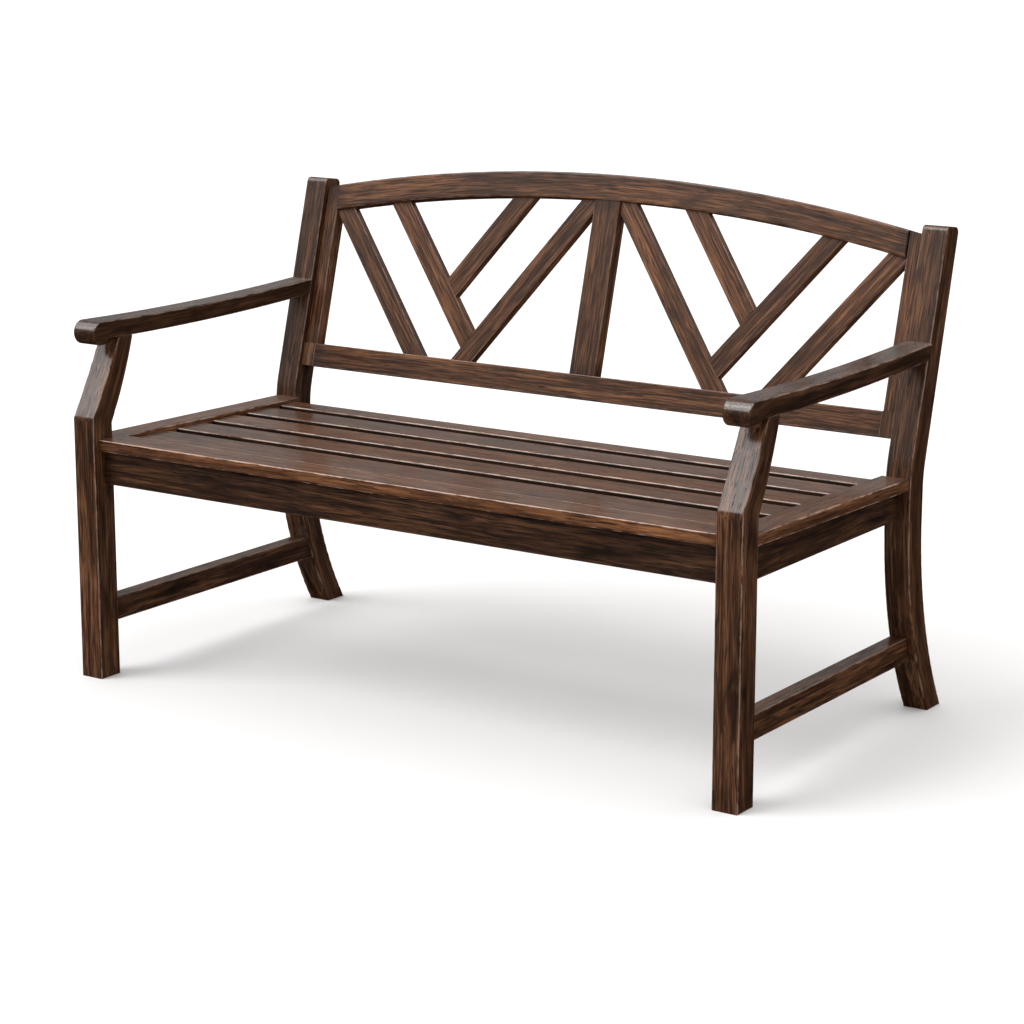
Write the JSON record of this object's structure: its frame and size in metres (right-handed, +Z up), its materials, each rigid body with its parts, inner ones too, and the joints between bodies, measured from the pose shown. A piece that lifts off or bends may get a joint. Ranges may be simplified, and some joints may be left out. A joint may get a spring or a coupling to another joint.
{
  "type": "two-seat slatted bench with arms",
  "caption": "Dark stained hardwood bench for two with a slatted seat, scrolled arms, raked rear legs and an arched back filled with a chevron lattice.",
  "frame": {"origin": "on the floor, midway along the bench and midway from front to back of its bounding box", "axes": "+X along the bench to the sitter's left, +Y from the front to the back, +Z up"},
  "size_m": [1.276, 0.6793, 0.8252],
  "materials": {
    "stained_wood": "dark walnut-coloured stain under a satin clear coat, with reddish-brown grain",
    "hidden_wood": "the same stain, duller, on the pieces under the seat",
    "dowel_wood": "plain beech-coloured dowel inside the joints",
    "zinc_steel": "zinc-plated steel screw"
  },
  "bodies": {
    "root": {"armrest_left": "stained_wood", "armrest_right": "stained_wood", "back_center_stile": "stained_wood", "back_corner_piece_left": "stained_wood", "back_corner_piece_right": "stained_wood", "back_lower_rail": "stained_wood", "back_stile_left": "stained_wood", "back_stile_right": "stained_wood", "back_top_rail": "stained_wood", "corner_block_front_left": "hidden_wood", "corner_block_front_right": "hidden_wood", "corner_block_rear_left": "hidden_wood", "corner_block_rear_right": "hidden_wood", "corner_block_screws": "zinc_steel", "front_leg_left": "stained_wood", "front_leg_right": "stained_wood", "front_rail": "stained_wood", "lattice_dowels": "dowel_wood", "lattice_inner_long_left": "stained_wood", "lattice_inner_long_right": "stained_wood", "lattice_inner_short_left": "stained_wood", "lattice_inner_short_right": "stained_wood", "lattice_outer_long_left": "stained_wood", "lattice_outer_long_right": "stained_wood", "lattice_outer_short_left": "stained_wood", "lattice_outer_short_right": "stained_wood", "rear_leg_left": "stained_wood", "rear_leg_right": "stained_wood", "rear_rail": "stained_wood", "seat_bearer": "hidden_wood", "seat_board_dowels": "dowel_wood", "seat_cleat_left": "hidden_wood", "seat_cleat_right": "hidden_wood", "seat_end_board_left": "stained_wood", "seat_end_board_right": "stained_wood", "seat_front_board": "stained_wood", "seat_slat_1": "stained_wood", "seat_slat_2": "stained_wood", "seat_slat_3": "stained_wood", "seat_slat_4": "stained_wood", "seat_slat_5": "stained_wood", "side_rail_left": "stained_wood", "side_rail_right": "stained_wood", "side_stretcher_left": "stained_wood", "side_stretcher_right": "stained_wood", "slat_screws": "zinc_steel"}
  },
  "joints": []
}
